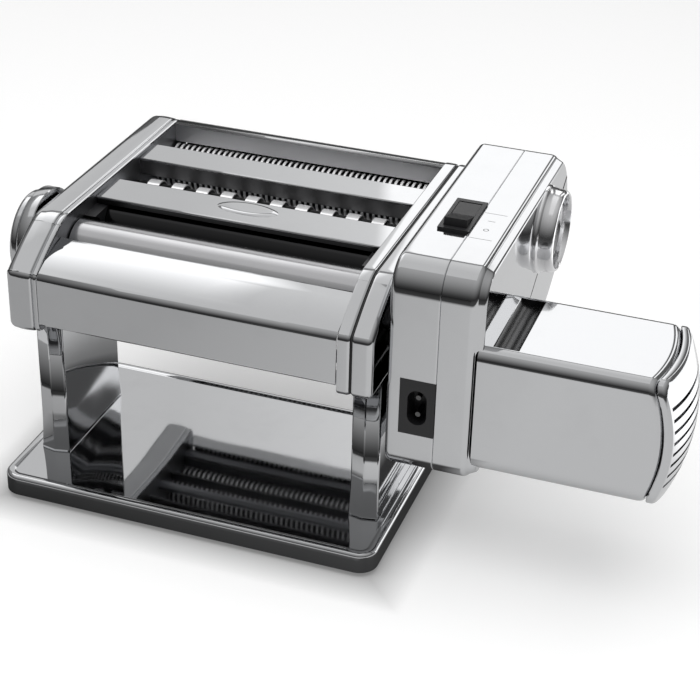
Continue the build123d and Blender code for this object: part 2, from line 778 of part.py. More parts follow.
def switch_bezel():
    y0, y1 = switch_y - switch_length / 2, switch_y + switch_length / 2
    frame = block(switch_x0, split_x, y0, y1, case_top, case_top + 1.2)
    frame += block(switch_x0 + 1, split_x - 0.1, y0 + 1, y1 - 1, case_top - 8, case_top)
    middle = (switch_x0 + split_x) / 2
    half = rocker_width / 2 + 0.2
    frame -= block(middle - half, middle + half, switch_y - rocker_length / 2 - 0.4, switch_y + rocker_length / 2 + 0.4,
                   case_top - 7, case_top + 2)
    return frame - rod(middle - half - 1, middle + half + 1, (switch_y, pivot_z), 1.2 + running)


def switch_rocker():
    """Shown with its front end up: two inclined faces that meet over the pivot, and round ends."""
    middle = (switch_x0 + split_x) / 2
    half = rocker_width / 2
    reach = rocker_length / 2
    rise = tan(radians(rocker_tilt)) * reach
    wedge = make_face(Polyline((-reach, -3.2), (-reach, 1.6 + rise), (0, 1.6), (reach, 1.6 + rise), (reach, -3.2), close=True))
    wedge &= Circle(reach)
    wedge = Pos(switch_y, pivot_z) * Rot(0, 0, -rocker_tilt) * wedge
    piece = along_x(wedge, middle - half, middle + half)
    return piece + rod(middle - half - 0.9, middle + half + 0.9, (switch_y, pivot_z), 1.2)


inlet_x = split_x - inlet_width / 2


def pin_places():
    return [(inlet_x, inlet_z - inlet_pin_pitch / 2), (inlet_x, inlet_z + inlet_pin_pitch / 2)]


def power_inlet():
    """Appliance inlet: a figure-of-eight well in a flat black plate."""
    x0, x1 = split_x - inlet_width + 0.1, split_x - 0.1
    body = block(x0, x1, case_front, case_front + inlet_depth, inlet_z - inlet_height / 2 + 0.1,
                 inlet_z + inlet_height / 2 - 0.1)
    well = SlotCenterToCenter(inlet_pin_pitch, 9)
    cut = extrude(Plane(origin=(inlet_x, case_front, inlet_z), x_dir=(0, 0, 1), z_dir=(0, 1, 0)) * well, amount=10)
    body -= cut
    for x, z in pin_places():
        body -= Pos(x, case_front + 11.5, z) * Rot(90, 0, 0) * Cylinder(1.2, 5)
    return body


def inlet_pins():
    pins = Part()
    for x, z in pin_places():
        pins += Pos(x, case_front + 7.5, z) * Rot(90, 0, 0) * Cylinder(1.2, 11)
    return pins


# ---------------------------------------------------------------- phases of the gears at rest
PHASE = {"rear": 0.0}
PHASE["front"] = partner_phase(REAR_ROLLER, PHASE["rear"], roller_teeth, FRONT_ROLLER, roller_teeth)
PHASE["wide_rear"] = partner_phase(WIDE_FRONT, 0.0, cutter_teeth, WIDE_REAR, cutter_teeth)
PHASE["narrow_rear"] = partner_phase(NARROW_FRONT, 0.0, cutter_teeth, NARROW_REAR, cutter_teeth)
PHASE["out_wide"] = partner_phase(REAR_ROLLER, 0.0, box_teeth, WIDE_FRONT, box_teeth)
PHASE["idler"] = partner_phase(WIDE_FRONT, PHASE["out_wide"], box_teeth, IDLER, idler_teeth)
PHASE["out_narrow"] = partner_phase(IDLER, PHASE["idler"], idler_teeth, NARROW_FRONT, box_teeth)
PHASE["small"] = partner_phase(REAR_ROLLER, 0.0, box_teeth, REDUCTION, small_teeth)
PHASE["pinion"] = partner_phase(REDUCTION, 0.0, big_teeth, MOTOR, pinion_teeth)

# ---------------------------------------------------------------- pieces
parts = {
    "base_tray": base_tray(),
    "rubber_feet": rubber_feet(),
    "left_leg": leg(left_leg_x),
    "right_leg": leg(right_leg_x),
    "left_cheek": left_cheek(),
    "right_cheek": right_cheek(),
    "cover_seal": cover_seal(),
    "gear_cover": gear_cover(),
    "left_side_plate": side_plate(body_left - plate),
    "right_side_plate": side_plate(body_right),
    "tie_rods": tie_rods(),
    "rod_nuts": rod_nuts(),
    "bearing_bushes": bushes(body_left - plate, -1) + bushes(body_right, 1),
    "front_panel": front_panel(),
    "back_panel": back_panel(),
    "front_plate": front_plate(),
    "rear_plate": rear_plate(),
    "side_guides": side_guides(),
    "front_roller": roller(FRONT_ROLLER, False),
    "rear_roller": roller(REAR_ROLLER, True),
    "front_roller_gear": roller_gear(FRONT_ROLLER, PHASE["front"]),
    "rear_roller_gear": roller_gear(REAR_ROLLER, PHASE["rear"]),
    "wide_front_shaft": cutter_shaft(WIDE_FRONT, True),
    "wide_rear_shaft": cutter_shaft(WIDE_REAR, False),
    "narrow_front_shaft": cutter_shaft(NARROW_FRONT, True),
    "narrow_rear_shaft": cutter_shaft(NARROW_REAR, False),
    "wide_front_cutter": wide_cutter(WIDE_FRONT, 0),
    "wide_rear_cutter": wide_cutter(WIDE_REAR, 1),
    "narrow_front_cutter": narrow_cutter(NARROW_FRONT, 0),
    "narrow_rear_cutter": narrow_cutter(NARROW_REAR, 1),
    "wide_front_gear": cutter_gear(WIDE_FRONT, 0.0),
    "wide_rear_gear": cutter_gear(WIDE_REAR, PHASE["wide_rear"]),
    "narrow_front_gear": cutter_gear(NARROW_FRONT, 0.0),
    "narrow_rear_gear": cutter_gear(NARROW_REAR, PHASE["narrow_rear"]),
    "wide_combs": Part() + [comb(WIDE_FRONT, wide_rings, 0, -1), comb(WIDE_REAR, wide_rings, 1, 1)],
    "narrow_combs": Part() + [comb(NARROW_FRONT, narrow_rings, 0, -1), comb(NARROW_REAR, narrow_rings, 1, 1)],
    "roller_carriage": carriage(),
    "thickness_dial": thickness_dial(),
    "dial_spindle": dial_spindle(),
    "mounting_plate": mounting_plate(),
    "motor_case_inner": case_inner(),
    "motor_case_outer": case_outer(),
    "motor_end_cap": motor_end_cap(),
    "boss_cover": boss_cover(),
    "roller_output_gear": output_gear(REAR_ROLLER, 0.0),
    "wide_output_gear": output_gear(WIDE_FRONT, PHASE["out_wide"]),
    "narrow_output_gear": output_gear(NARROW_FRONT, PHASE["out_narrow"]),
    "idler_gear": idler_gear(PHASE["idler"]),
    "gear_pins": Part() + [idler_pin(), reduction_pin()],
    "reduction_gear": reduction_gear(PHASE["small"], 0.0),
    "motor_pinion": motor_pinion(PHASE["pinion"]),
    "armature": armature(),
    "motor_can": motor_can(),
    "motor_bracket": motor_bracket(),
    "cooling_fan": cooling_fan(),
    "switch_bezel": switch_bezel(),
    "switch_rocker": switch_rocker(),
    "power_inlet": power_inlet(),
    "inlet_pins": inlet_pins(),
}
os.makedirs("parts", exist_ok=True)
for name, piece in parts.items():
    export_step(piece, f"parts/{name}.step")
print(len(parts), "pieces written")
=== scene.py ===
# %% [markdown]
# An electric pasta machine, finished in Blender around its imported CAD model. The CAD gives every piece its
# place, so the first step loads it as a fixed frame. Nothing from the CAD is ever moved: a piece either keeps
# its CAD mesh and gets a finish, or a finer surface is worked out here and stands for it.

# %% Load the frame
import json
import math

import bmesh
import bpy
import numpy as np

from mathutils import Matrix, Vector


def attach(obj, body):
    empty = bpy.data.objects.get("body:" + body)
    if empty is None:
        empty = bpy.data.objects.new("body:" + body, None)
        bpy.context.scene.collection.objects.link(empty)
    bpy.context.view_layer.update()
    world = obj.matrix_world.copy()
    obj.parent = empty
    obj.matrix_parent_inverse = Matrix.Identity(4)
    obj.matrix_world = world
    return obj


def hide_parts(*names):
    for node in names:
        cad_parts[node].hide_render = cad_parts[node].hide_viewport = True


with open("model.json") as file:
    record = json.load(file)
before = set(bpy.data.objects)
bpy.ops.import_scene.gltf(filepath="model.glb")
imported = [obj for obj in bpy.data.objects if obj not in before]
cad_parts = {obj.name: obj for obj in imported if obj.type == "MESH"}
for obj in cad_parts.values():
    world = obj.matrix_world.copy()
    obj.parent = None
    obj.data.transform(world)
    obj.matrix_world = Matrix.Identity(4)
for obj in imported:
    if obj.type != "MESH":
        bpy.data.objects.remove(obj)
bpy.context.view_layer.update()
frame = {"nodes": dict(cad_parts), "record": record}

# %% [markdown]
# The camera stands in front of the machine, to its right and above it, with a long lens, so the edges nearly
# stay parallel. Yaw, pitch and roll turn a camera that first looks along +Y.

# %% Camera
YAW, PITCH, ROLL = math.radians(18.6), math.radians(30.0), math.radians(-1.57)
forward = np.array([-math.sin(YAW) * math.cos(PITCH), math.cos(YAW) * math.cos(PITCH), -math.sin(PITCH)])
level_right = np.array([math.cos(YAW), math.sin(YAW), 0.0])
down = np.cross(forward, level_right)
right = math.cos(ROLL) * level_right + math.sin(ROLL) * down
up = -(-math.sin(ROLL) * level_right + math.cos(ROLL) * down)
camera_data = bpy.data.cameras.new("camera")
camera_data.sensor_width = 36.0
camera_data.lens = 1813.0 / 700.0 * camera_data.sensor_width
camera_data.clip_start, camera_data.clip_end = 0.05, 30.0
camera = bpy.data.objects.new("camera", camera_data)
bpy.context.scene.collection.objects.link(camera)
turn = np.eye(4)
turn[:3, 0], turn[:3, 1], turn[:3, 2], turn[:3, 3] = right, up, -forward, (0.297, -0.698, 0.509)
camera.matrix_world = Matrix(turn.tolist())
bpy.context.scene.camera = camera
print("lens", round(camera_data.lens, 1), "mm")

# %% [markdown]
# Shader maths is easier to read as ordinary expressions. The class below wraps one socket of a node tree:
# adding or multiplying two of them adds the Math node that does it. Every other node comes from `node`, which
# takes its type, its settings and what goes into its sockets.

# %% A small language for materials
class Value:
    def __init__(self, tree, socket):
        self.tree, self.socket = tree, socket

    def _math(self, operation, *inputs):
        made = self.tree.nodes.new("ShaderNodeMath")
        made.operation = operation
        for place, given in zip(made.inputs, inputs):
            connect(self.tree, given, place)
        return Value(self.tree, made.outputs[0])

    def __add__(self, other):
        return self._math("ADD", self, other)

    def __sub__(self, other):
        return self._math("SUBTRACT", self, other)

    def __rsub__(self, other):
        return self._math("SUBTRACT", other, self)

    def __mul__(self, other):
        return self._math("MULTIPLY", self, other)

    def __truediv__(self, other):
        return self._math("DIVIDE", self, other)

    def __pow__(self, other):
        return self._math("POWER", self, other)

    def __lt__(self, other):
        return self._math("LESS_THAN", self, other)

    def __gt__(self, other):
        return self._math("GREATER_THAN", self, other)

    def __abs__(self):
        return self._math("ABSOLUTE", self)

    def at_least(self, other):
        return self._math("MAXIMUM", self, other)

    def clamp(self):
        """Kept between 0 and 1."""
        return self._math("MINIMUM", self, 1.0).at_least(0.0)


def connect(tree, given, place):
    if isinstance(given, Value):
        tree.links.new(given.socket, place)
    else:
        place.default_value = given


class Finish:
    """One material, its Principled shader and the nodes that feed it."""

    def __init__(self, name, **settings):
        self.material = bpy.data.materials.new(name)
        self.material.use_nodes = True
        self.tree = self.material.node_tree
        self.shader = self.tree.nodes["Principled BSDF"]
        self.set(**settings)

    @classmethod
    def of(cls, material):
        """The finish of a material that is made already, so that more can be added to it."""
        made = cls.__new__(cls)
        made.material, made.tree = material, material.node_tree
        made.shader = material.node_tree.nodes["Principled BSDF"]
        return made

    def set(self, **settings):
        for key, given in settings.items():
            socket = key.replace("_", " ").title().replace("Ior", "IOR")
            connect(self.tree, given, self.shader.inputs[socket])

    def node(self, kind, settings=None, output=0, **inputs):
        """One output of a new node. An input goes by its name, or by i and its index where two share a
        name."""
        made = self.tree.nodes.new("ShaderNode" + kind)
        for key, given in (settings or {}).items():
            setattr(made, key, given)
        for key, given in inputs.items():
            index = int(key[1:]) if key[0] == "i" and key[1:].isdigit() else key.replace("_", " ")
            connect(self.tree, given, made.inputs[index])
        return Value(self.tree, made.outputs[output])

    def here(self):
        """Object coordinates in metres, so every pattern is fixed to the piece."""
        return self.node("TexCoord", output=3)

    def along(self, axis):
        """The object coordinate along axis 0, 1 or 2."""
        return self.node("SeparateXYZ", Vector=self.here(), output=axis)

    def noise(self, scale, detail, rough, stretch=(1.0, 1.0, 1.0)):
        place = self.node("Mapping", Vector=self.here(), Scale=stretch)
        return self.node("TexNoise", Vector=place, Scale=scale, Detail=detail, Roughness=rough)

    def between(self, share, low, high):
        """A colour between two, by a value from 0 to 1."""
        return self.node("Mix", {"data_type": "RGBA"}, output=2, i0=share, i6=(*low, 1.0), i7=(*high, 1.0))

    def bumps(self, height, depth):
        """Tilts the surface as if it rose by height times depth metres."""
        return self.node("Bump", Height=height, Distance=depth, Strength=1.0)


# %% [markdown]
# Bright plated sheet steel covers most of the machine. A real sheet isn't a perfect mirror: it is faintly
# wavy from pressing, it has a few hair-fine polishing lines, and hands leave a soft haze. The waves bend the
# reflections of the room, which is what tells the eye that this is metal.

# %% Plated steel
def plated_steel(name, tint, rough, wave, lines=0.02, haze=0.05, metallic=1.0):
    """Plating with waves that are wave metres deep. The polishing lines and the haze add to its roughness."""
    metal = Finish(name, metallic=metallic)
    smudge = metal.noise(38.0, 5.0, 0.6)
    fine = metal.noise(1400.0, 2.0, 0.5, stretch=(0.04, 1.0, 1.0))
    soft = ((smudge - 0.5) * 2.0).clamp()
    metal.set(base_color=metal.between(soft, tint, tuple(c * 0.93 for c in tint)),
              roughness=(soft * haze + fine * lines + rough).clamp())
    metal.set(normal=metal.bumps(metal.noise(14.0, 1.0, 0.3) + fine * 0.004, wave))
    return metal.material


def painted_shade_and_print(material, zone, shade, rough):
    """The same plating with a zone of its own tone, duller: zone gives 1 inside it and 0 outside, from x, y
    and z in metres. The zones are painted shade, apart from the printed switch marks."""
    finish = Finish.of(material)
    inside = zone(*[finish.along(axis) for axis in range(3)])
    colour = Value(finish.tree, finish.shader.inputs["Base Color"].links[0].from_socket)
    dull = Value(finish.tree, finish.shader.inputs["Roughness"].links[0].from_socket)
    finish.set(base_color=finish.node("Mix", {"data_type": "RGBA"}, output=2, i0=inside, i6=colour,
                                      i7=(shade, shade, shade * 1.02, 1.0)),
               roughness=(dull + inside * rough).clamp())
    return material


def plate_with_painted_edge_shade(name, front, top, shade):
    """Plated steel whose turned-down front edge, which lies in shade, gets a painted shade tone and a satin
    roughness.
    """
    return painted_shade_and_print(plated_steel(name, CHROME, 0.04, 0.00015),
                  lambda x, y, z: (y < front + 0.0006) * (z < top - 0.0009), shade, 0.34)


def groove_painted_shade(x, y, z):
    """The groove across the barrel, which sees only its own walls and the gearbox, in a painted shade tone.
    """
    return (abs(x - 0.1441) < 0.0057) * (z < 0.1188) * (z > 0.112) * (abs(y + 0.008) < 0.0245)


def switch_marks(x, y, z):
    """Printed beside the switch: a bar for on, a ring for off and a thin line past each end."""
    lines = (abs(abs(y - 0.0124) - 0.0134) < 0.00016) * (abs(x - 0.1215) < 0.0052)
    bar = (abs(y - 0.0178) < 0.00018) * (abs(x - 0.1215) < 0.0017)
    ring = (abs(((x - 0.1215) ** 2.0 + (y - 0.0085) ** 2.0) ** 0.5 - 0.0011) < 0.00017)
    return ((lines + bar + ring) * (z > 0.1533)).clamp()


def between_rings(x, y, z):
    """The cores of the cutters, which lie deep between the rings and get no light."""
    cores = [((y - axis) ** 2.0 + (z - AXIS_HEIGHT) ** 2.0) ** 0.5 < SHADED_RADIUS for axis in CUTTER_AXES]
    return sum(cores[1:], cores[0]).clamp()


CUTTER_AXES, AXIS_HEIGHT, SHADED_RADIUS = (0.0458, 0.0612, 0.0926, 0.1080), 0.1141, 0.0079
CHROME = (0.575, 0.58, 0.59)
polished_steel = plated_steel("polished_steel", CHROME, 0.03, 0.0004)
plated_plastic = plated_steel("plated_plastic", CHROME, 0.05, 0.00025, 0.02, 0.04)
barrel_plating = plated_steel("barrel_plating", CHROME, 0.05, 0.00025, 0.02, 0.04)
# Painted shade in the thumb groove.
painted_shade_and_print(barrel_plating, groove_painted_shade, 0.09, 0.2)
painted_shade_and_print(barrel_plating, switch_marks, 0.03, 0.3)
dial_metal = plated_steel("dial_metal", (0.62, 0.625, 0.635), 0.10, 0.0001, 0.05, 0.05)
roller_steel = plated_steel("roller_steel", (0.50, 0.50, 0.51), 0.13, 0.00005, 0.10, 0.05)
satin_nickel = plated_steel("satin_nickel", (0.80, 0.80, 0.81), 0.12, 0.0001, 0.05, 0.05)
# Near-black zinc, as painted shade for pieces that lie in dark gaps.
painted_shade_zinc = plated_steel("painted_shade_zinc", (0.10, 0.10, 0.105), 0.40, 0.0001, 0.10, 0.10)
pin_steel = plated_steel("pin_steel", (0.12, 0.12, 0.12), 0.30, 0.0)
cutter_steel = plated_steel("cutter_steel", (0.90, 0.90, 0.91), 0.16, 0.00002, 0.02, 0.0, metallic=0.4)
# Painted shade on the cutters' cores between the rings.
painted_shade_and_print(cutter_steel, between_rings, 0.02, 0.2)
# Near-black roller steel: painted shade for the rear roller under the rear plate's edge.
shaded_roller = plated_steel("shaded_roller", (0.035, 0.035, 0.036), 0.12, 0.00005, 0.05, 0.03)
# The plates' turned-down edges carry a painted shade tone.
rear_plate_steel = plate_with_painted_edge_shade("rear_plate_steel", 0.0645, 0.132, 0.12)
back_panel_steel = plate_with_painted_edge_shade("back_panel_steel", 0.109, 0.1341, 0.85)
front_plate_steel = plate_with_painted_edge_shade("front_plate_steel", 0.0155, 0.132, 0.05)
zinc_steel = plated_steel("zinc_steel", (0.30, 0.305, 0.32), 0.28, 0.0002, 0.10, 0.12)


# %% [markdown]
# Inside the machine and on the motor unit are a few moulded pieces: pale gears, and in black the guides, the
# fan, the power inlet and the switch. Moulded plastic is slightly uneven in shade and has a fine spark-eroded
# grain that scatters its highlights.

# %% Mouldings
def moulding(name, tint, rough, grain, depth):
    """Plastic with clouds in its shade and a grain that is depth metres deep."""
    plastic = Finish(name)
    speck = plastic.noise(grain, 2.0, 0.55)
    cloud = plastic.noise(30.0, 4.0, 0.55)
    darker, lighter = (tuple(c * share for c in tint) for share in (0.95, 1.04))
    plastic.set(base_color=plastic.between(cloud, darker, lighter),
                roughness=(speck * 0.10 + cloud * 0.06 + rough).clamp(),
                normal=plastic.bumps(speck, depth))
    return plastic.material


grey_plastic = moulding("grey_plastic", (0.10, 0.105, 0.11), 0.40, 3500.0, 0.00002)
gear_plastic = moulding("gear_plastic", (0.70, 0.67, 0.58), 0.35, 2500.0, 0.00001)
black_plastic = moulding("black_plastic", (0.012, 0.012, 0.013), 0.30, 2600.0, 0.00003)
seal_rubber = moulding("seal_rubber", (0.015, 0.015, 0.015), 0.60, 1800.0, 0.00004)
bush_bronze = plated_steel("bush_bronze", (0.56, 0.40, 0.22), 0.35, 0.0001, 0.10, 0.10)
pin_brass = plated_steel("pin_brass", (0.80, 0.66, 0.38), 0.15, 0.0001)
finishes = {"polished_steel": polished_steel, "roller_steel": roller_steel, "zinc_steel": zinc_steel,
            "plated_plastic": plated_plastic, "dial_metal": dial_metal, "grey_plastic": grey_plastic,
            "gear_plastic": gear_plastic, "black_plastic": black_plastic, "seal_rubber": seal_rubber,
            "bush_bronze": bush_bronze, "pin_brass": pin_brass, "cutter_steel": cutter_steel,
            "shaded_roller": shaded_roller, "satin_nickel": satin_nickel, "barrel_plating": barrel_plating,
            "rear_plate_steel": rear_plate_steel, "back_panel_steel": back_panel_steel,
            "front_plate_steel": front_plate_steel}

# %% Give every CAD node the finish of its slot
slot_of = {row["node"]: row["material_slot"] for row in frame["record"]["subparts"]}
for name, thing in frame["nodes"].items():
    thing.data.materials.clear()
    thing.data.materials.append(finishes[slot_of[name]])
# The mounting plate and the combs take the near-black zinc as painted shade: the plate lies in the dark gap
# between the gear cover and the gearbox, the combs under the front plate.
for name, other in (("inlet_pins", pin_steel), ("mounting_plate", painted_shade_zinc), ("wide_combs", painted_shade_zinc),
                    ("narrow_combs", painted_shade_zinc), ("side_guides", black_plastic)):
    frame["nodes"][name].data.materials[0] = other
print("finishes:", sorted(set(slot_of.values())))

# %% [markdown]
# Mirror-bright metal shows every flat facet of a coarse mesh, so each visible piece gets a finer surface.
# Most of them are one outline, straight lines with rounded corners, carried along an axis. The outline can
# shrink on the way, which makes rounded edges, chamfers, rims and hollows with one formula.

# %% An outline with rounded corners
def outline_rings(corners, inset=0.0, steps=8):
    """Rows of points round a closed outline whose corners are (a, b, radius), anticlockwise. Every line moves
    inwards by the inset, so a corner moves along its mitre by inset / cos(half the turn). An arc of the
    corner's radius less the inset replaces it: it starts radius * tan(half the turn) before the corner and
    turns about its own centre."""
    corners = np.array(corners, float)
    inset = np.atleast_1d(inset).astype(float)[:, None, None]
    place, radius = corners[:, :2], corners[:, 2]
    leave = np.roll(place, -1, 0) - place
    leave /= np.linalg.norm(leave, axis=1, keepdims=True)
    arrive = np.roll(leave, 1, 0)
    left_of_arrive = np.stack([-arrive[:, 1], arrive[:, 0]], 1)
    left_of_leave = np.stack([-leave[:, 1], leave[:, 0]], 1)
    bend = np.arctan2(arrive[:, 0] * leave[:, 1] - arrive[:, 1] * leave[:, 0], (arrive * leave).sum(1))
    corner = place + inset * (left_of_arrive + left_of_leave) / (1 + np.cos(bend))[:, None]
    round_to = np.maximum(radius - inset[:, :, 0] * np.sign(bend), 0.02)
    start = corner - arrive * (round_to * np.tan(abs(bend) / 2))[..., None]
    centre = start + left_of_arrive * (round_to * np.sign(bend))[..., None]
    angle = np.linspace(0, 1, steps + 1) * bend[:, None]
    spoke = (start - centre)[:, :, None, :]
    a = spoke[..., 0] * np.cos(angle) - spoke[..., 1] * np.sin(angle)
    b = spoke[..., 0] * np.sin(angle) + spoke[..., 1] * np.cos(angle)
    return (centre[:, :, None, :] + np.stack([a, b], -1)).reshape(len(inset), -1, 2)


def arc_corners(start, middle, end, parts):
    """Corners whose rounds make up the circle through three points: each lies where the tangents at two
    neighbouring divisions of the arc meet, radius / cos(half a part) from the centre."""
    (ax, ay), (bx, by), (cx, cy) = start, middle, end
    d = 2 * (ax * (by - cy) + bx * (cy - ay) + cx * (ay - by))
    ux = ((ax**2 + ay**2) * (by - cy) + (bx**2 + by**2) * (cy - ay) + (cx**2 + cy**2) * (ay - by)) / d
    uy = ((ax**2 + ay**2) * (cx - bx) + (bx**2 + by**2) * (ax - cx) + (cx**2 + cy**2) * (bx - ax)) / d
    radius = math.hypot(ax - ux, ay - uy)
    first = math.atan2(ay - uy, ax - ux)
    sweep = (math.atan2(cy - uy, cx - ux) - first) % (2 * math.pi)
    angle = first + sweep * (np.arange(parts) + 0.5) / parts
    reach = radius / math.cos(sweep / parts / 2)
    corners = [ux + reach * np.cos(angle), uy + reach * np.sin(angle), np.full(parts, radius)]
    return np.column_stack(corners).tolist()


def divided(corners, parts):
    """The same outline with flat corners (radius 0) that divide the straight run between each two rounds."""
    ring = np.array(corners, float)
    straight = outline_rings(ring, 0.0, 1)[0].reshape(-1, 2, 2)
    start, end = straight[:, 1], np.roll(straight[:, 0], -1, 0)
    share = (np.arange(1, parts) / parts)[None, :, None]
    flat = start[:, None] + (end - start)[:, None] * share
    flat = np.concatenate([flat, np.zeros(flat.shape[:2] + (1,))], 2)
    return np.concatenate([ring[:, None], flat], 1).reshape(-1, 3).tolist()


def quarter(radius, inset0, height0, climb, steps=6, reverse=False):
    """Section rows for a rounded edge: inset and height follow a quarter circle, climb is +1 or -1."""
    angle = np.linspace(0, math.pi / 2, steps + 1)
    rows = np.stack([inset0 + radius * (1 - np.cos(angle)), height0 + climb * radius * np.sin(angle)], 1)
    return rows[::-1].tolist() if reverse else rows.tolist()


print(outline_rings([(0, 0, 1), (10, 0, 1), (10, 5, 1), (0, 5, 1)], [0.0, 0.5]).shape)

# %% [markdown]
# The grid of points becomes a mesh: neighbouring rows give quads, and flat faces close both ends. A bevel a
# quarter of a millimetre wide finishes the sharp edges, as polishing does, and weighted normals keep the
# flats flat.

# %% From rows of points to a piece
def grid_faces(rows, columns, closed=True):
    index = np.arange(rows * columns).reshape(rows, columns)
    after = np.roll(index, -1, 1)
    low, high = (index, after) if closed else (index[:, :-1], index[:, 1:])
    return np.stack([low[:-1], high[:-1], high[1:], low[1:]], -1).reshape(-1, 4)


def made_mesh(name, patches, sharp=None):
    """One mesh from patches of (points in millimetres, faces); points that coincide are merged."""
    offset, points, faces = 0, [], []
    for patch_points, patch_faces in patches:
        points.append(np.asarray(patch_points, float).reshape(-1, 3))
        faces += [[i + offset for i in face] for face in patch_faces]
        offset += len(points[-1])
    mesh = bpy.data.meshes.new(name)
    mesh.from_pydata((np.concatenate(points) * 0.001).tolist(), [], faces)
    solid = bmesh.new()
    solid.from_mesh(mesh)
    bmesh.ops.remove_doubles(solid, verts=solid.verts, dist=2e-6)
    bmesh.ops.dissolve_degenerate(solid, edges=solid.edges, dist=1e-6)
    solid.to_mesh(mesh)
    solid.free()
    mesh.shade_smooth()
    if sharp is not None:
        mesh.set_sharp_from_angle(angle=math.radians(sharp))
    return mesh


def finished(name, patches, nodes, bevel=0.25, sharp=None, finish=None):
    """A piece that stands for CAD nodes of one body: it rides on that body and takes the slot of the first
    node."""
    thing = bpy.data.objects.new(name, made_mesh(name, patches, sharp))
    bpy.context.scene.collection.objects.link(thing)
    slot = slot_of[nodes[0]]
    thing.data.materials.append(finishes[finish or slot])
    if bevel:
        edge = thing.modifiers.new("edges", "BEVEL")
        edge.width, edge.segments = bevel * 0.001, 2
        edge.limit_method, edge.angle_limit = "ANGLE", math.radians(34)
        edge.use_clamp_overlap = True
    if sharp is None:
        even = thing.modifiers.new("flats", "WEIGHTED_NORMAL")
        even.keep_sharp = True
    body = next(b for b, members in frame["record"]["behaviour"]["bodies"].items() if nodes[0] in members)
    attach(thing, body)
    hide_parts(*nodes)
    print(name, len(thing.data.polygons), "faces")


def carried(corners, section, axis="x", steps=8, cut=()):
    """A closed outline carried along an axis: row k is the outline moved inwards by section[k][0] at
    section[k][1]. Faces whose middle lies in one of the cut boxes (low corner, high corner) are left out, for
    an opening."""
    section = np.array(section, float)
    rings = outline_rings(corners, section[:, 0], steps)
    height = np.broadcast_to(section[:, 1, None], rings.shape[:2])
    order = (height, rings[..., 0], rings[..., 1]) if axis == "x" else (rings[..., 0], rings[..., 1], height)
    points = np.stack(order, -1)
    faces = grid_faces(*points.shape[:2])
    middle = points.reshape(-1, 3)[faces].mean(1)
    for low, high in cut:
        inside = ((middle > low) & (middle < high)).all(1)
        faces, middle = faces[~inside], middle[~inside]
    rows, columns = points.shape[:2]
    first, last = list(range(columns))[::-1], list(range((rows - 1) * columns, rows * columns))
    return points, faces.tolist() + [first, last]


def turned(profile, centre, axis="x", sides=64, caps=(True, True)):
    """A profile of (along, radius) turned about an axis through centre: each point becomes a circle."""
    profile = np.array(profile, float)
    angle = np.arange(sides) * 2 * math.pi / sides
    a = centre[0] + profile[:, 1, None] * np.cos(angle)
    b = centre[1] + profile[:, 1, None] * np.sin(angle)
    along = np.broadcast_to(profile[:, 0, None], a.shape)
    points = np.stack((along, a, b) if axis == "x" else (a, b, along), -1)
    faces = grid_faces(*points.shape[:2]).tolist()
    if caps[0]:
        faces.append(list(range(sides))[::-1])
    if caps[1]:
        faces.append(list(range(len(profile) * sides - sides, len(profile) * sides)))
    return points, faces


def folded_sheet(path, thickness):
    """Corners of a folded sheet's section: the path (a, b, bend radius), and back along it at the thickness
    to its left. A bend keeps one centre, so its radius shrinks or grows by the thickness; the two ends are
    nearly square."""
    path = np.array(path, float)
    run = np.diff(path[:, :2], axis=0)
    run /= np.linalg.norm(run, axis=1, keepdims=True)
    arrive, leave = np.vstack([run[:1], run]), np.vstack([run, run[-1:]])
    left = np.stack([-(arrive + leave)[:, 1], (arrive + leave)[:, 0]], 1)
    back = path[:, :2] + thickness * left / (1 + (arrive * leave).sum(1))[:, None]
    bend = np.sign(arrive[:, 0] * leave[:, 1] - arrive[:, 1] * leave[:, 0])
    radius = path[:, 2].copy()
    radius[[0, -1]] = 0.3
    back_radius = np.maximum(radius - thickness * bend, 0.1)
    back_radius[[0, -1]] = 0.3
    there = np.column_stack([path[:, :2], radius])
    back = np.column_stack([back, back_radius])[::-1]
    ring = np.vstack([there, back])
    area = np.roll(ring[:, 0], -1) * ring[:, 1] - ring[:, 0] * np.roll(ring[:, 1], -1)
    return (ring if area.sum() < 0 else ring[::-1]).tolist()


# %% [markdown]
# The machine stands on a pressed tray. Its section, from the underside over the skirt and the rolled rim to
# the dish, goes round a rectangle with rounded corners.

# %% Tray and rubber feet
TRAY_X, TRAY_Y, TRAY_ROUND = 95.5, 59.5, 9.0
tray_corners = [(a * TRAY_X, b * TRAY_Y, TRAY_ROUND) for a, b in ((-1, -1), (1, -1), (1, 1), (-1, 1))]
tray_section = [(1.2, 10.8), (1.2, 2.5), (0.0, 2.5), *quarter(2.0, 0.0, 10.8, 1), (3.2, 12.8), (4.4, 12.35),
                (5.2, 12.0)]
finished("tray_surface", [carried(tray_corners, tray_section, "z", 10)], ["base_tray"], bevel=0.15)
foot_profile = [(0.0, 6.0), (0.4, 6.8), (1.0, 7.0), (10.8, 7.0)]
feet = [turned(foot_profile, (x, y), "z", 40) for x in (-82.5, 82.5) for y in (-46.5, 46.5)]
finished("feet_surface", feet, ["rubber_feet"], bevel=0)

# %% [markdown]
# Two folded steel posts carry the body. A post's front comes to a shallow ridge, and it spreads into its
# foot, so its five-cornered section grows towards the tray.

